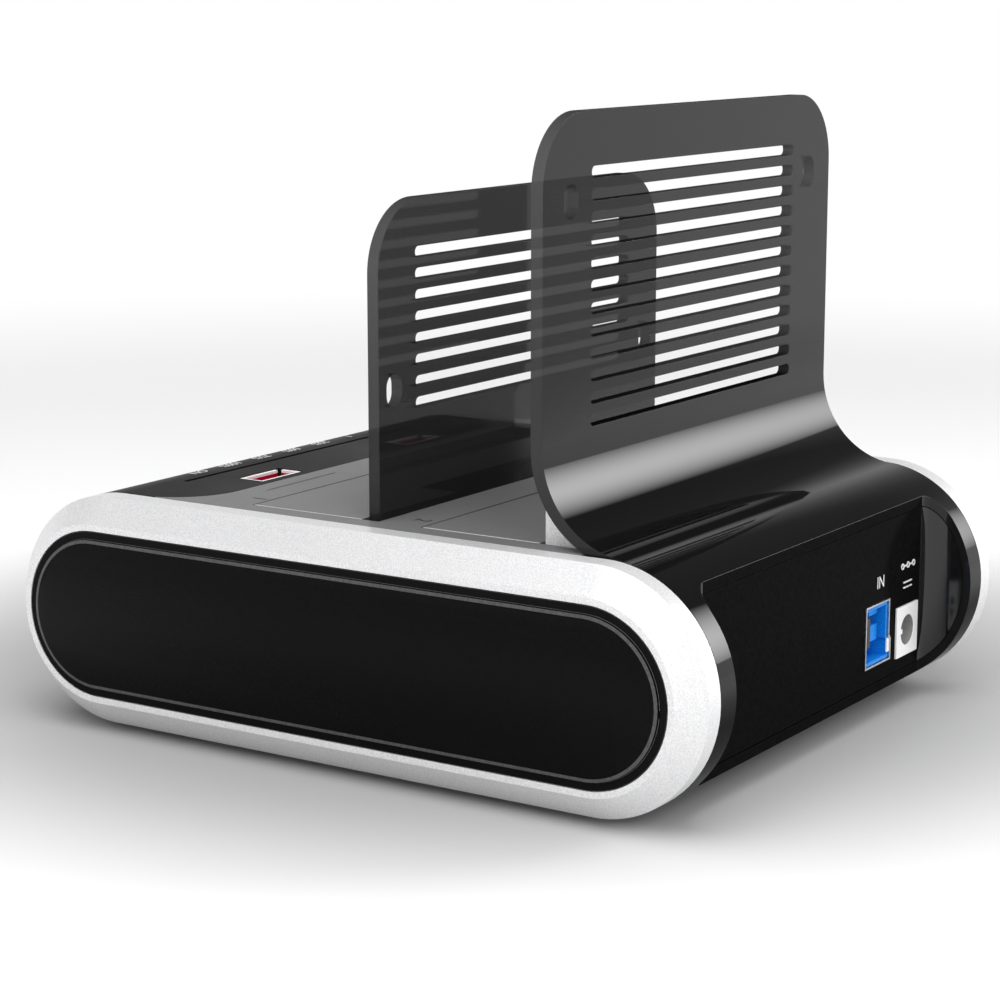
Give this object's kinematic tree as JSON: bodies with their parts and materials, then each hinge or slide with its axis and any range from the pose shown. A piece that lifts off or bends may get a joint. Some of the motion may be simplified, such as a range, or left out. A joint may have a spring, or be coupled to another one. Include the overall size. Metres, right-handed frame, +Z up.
{
  "type": "drive duplicator",
  "caption": "Upright-loading drive dock: round-ended body with silver end frames, two sprung bay flaps, slotted smoked back plates and a rear socket recess.",
  "frame": {"origin": "on the table, under the middle of the body's outer box", "axes": "+X along the width between the two silver end frames, +Y from the front switches to the rear sockets, +Z up"},
  "size_m": [0.1358, 0.16, 0.1266],
  "materials": {
    "silver_frame": "fine bead-blasted silver-white lacquer over moulded plastic",
    "silver_deck": "satin silver-grey lacquer with a soft grain",
    "black_panel": "piano black with a light bevelled edge line",
    "black_gloss": "piano black",
    "smoked_shell": "smoked black clear moulding, opaque below the flare",
    "black_matte": "fine textured black plastic",
    "rubber_foot": "matt black rubber",
    "steel": "bright plated steel",
    "brass_pin": "turned and plated",
    "circuit_board": "green solder mask",
    "black_component": "moulded black component plastic",
    "power_part": "dark sleeve and ferrite",
    "port_blue": "bright blue moulded insert",
    "port_white": "white moulded plastic",
    "switch_red": "bright red moulded plastic",
    "light_guide": "dark smoked light guide",
    "lamp_blue": "clear lamp lens"
  },
  "bodies": {
    "housing": {"bay_guide_front": "black_matte", "bay_guide_rear": "black_matte", "body_screws": "steel", "bottom_shell": "black_matte", "capacitors": "power_part", "controller_chip": "black_component", "dc_jack_housing": "port_white", "dc_jack_pin": "brass_pin", "divider_plate": "smoked_shell", "divider_screws": "steel", "drive_socket_front": "black_component", "drive_socket_rear": "black_component", "end_frame_left": "silver_frame", "end_frame_right": "silver_frame", "end_panel_left": "black_panel", "end_panel_right": "black_panel", "flap_pin_front": "steel", "flap_pin_rear": "steel", "flap_spring_front": "steel", "flap_spring_rear": "steel", "foot_front_left": "rubber_foot", "foot_front_right": "rubber_foot", "foot_rear_left": "rubber_foot", "foot_rear_right": "rubber_foot", "frame_screws": "steel", "front_bezel": "black_gloss", "inner_wall_left": "black_matte", "inner_wall_right": "black_matte", "io_panel": "black_gloss", "light_bar": "light_guide", "light_board": "circuit_board", "light_board_screws": "steel", "lug_screws": "steel", "main_board": "circuit_board", "power_coil": "power_part", "rear_cover": "smoked_shell", "status_lamps": "lamp_blue", "switch_liner_left": "port_white", "switch_liner_right": "port_white", "top_deck": "silver_deck", "usb_socket_insert": "port_blue", "usb_socket_shell": "steel"},
    "flap_front": {"bay_flap_front": "silver_deck"},
    "flap_rear": {"bay_flap_rear": "silver_deck"},
    "rocker_right": {"switch_rocker_right": "switch_red"},
    "rocker_left": {"switch_rocker_left": "switch_red"}
  },
  "joints": [
    {"name": "front_flap_hinge", "type": "hinge", "parent": "housing", "child": "flap_front", "pos_m": [0, -0.0303, 0.0442], "axis": [-1, 0, 0], "range_deg": [0, 89], "stiffness_Nm_per_rad": 0.0025, "springref_deg": -40.11},
    {"name": "rear_flap_hinge", "type": "hinge", "parent": "housing", "child": "flap_rear", "pos_m": [0, 0.0099, 0.0442], "axis": [-1, 0, 0], "range_deg": [0, 89], "stiffness_Nm_per_rad": 0.0025, "springref_deg": -40.11},
    {"name": "right_rocker_pivot", "type": "hinge", "parent": "housing", "child": "rocker_right", "pos_m": [0.026, -0.0443, 0.0448], "axis": [0, 1, 0], "range_deg": [0, 16]},
    {"name": "left_rocker_pivot", "type": "hinge", "parent": "housing", "child": "rocker_left", "pos_m": [-0.026, -0.0443, 0.0448], "axis": [0, 1, 0], "range_deg": [0, 16]}
  ]
}
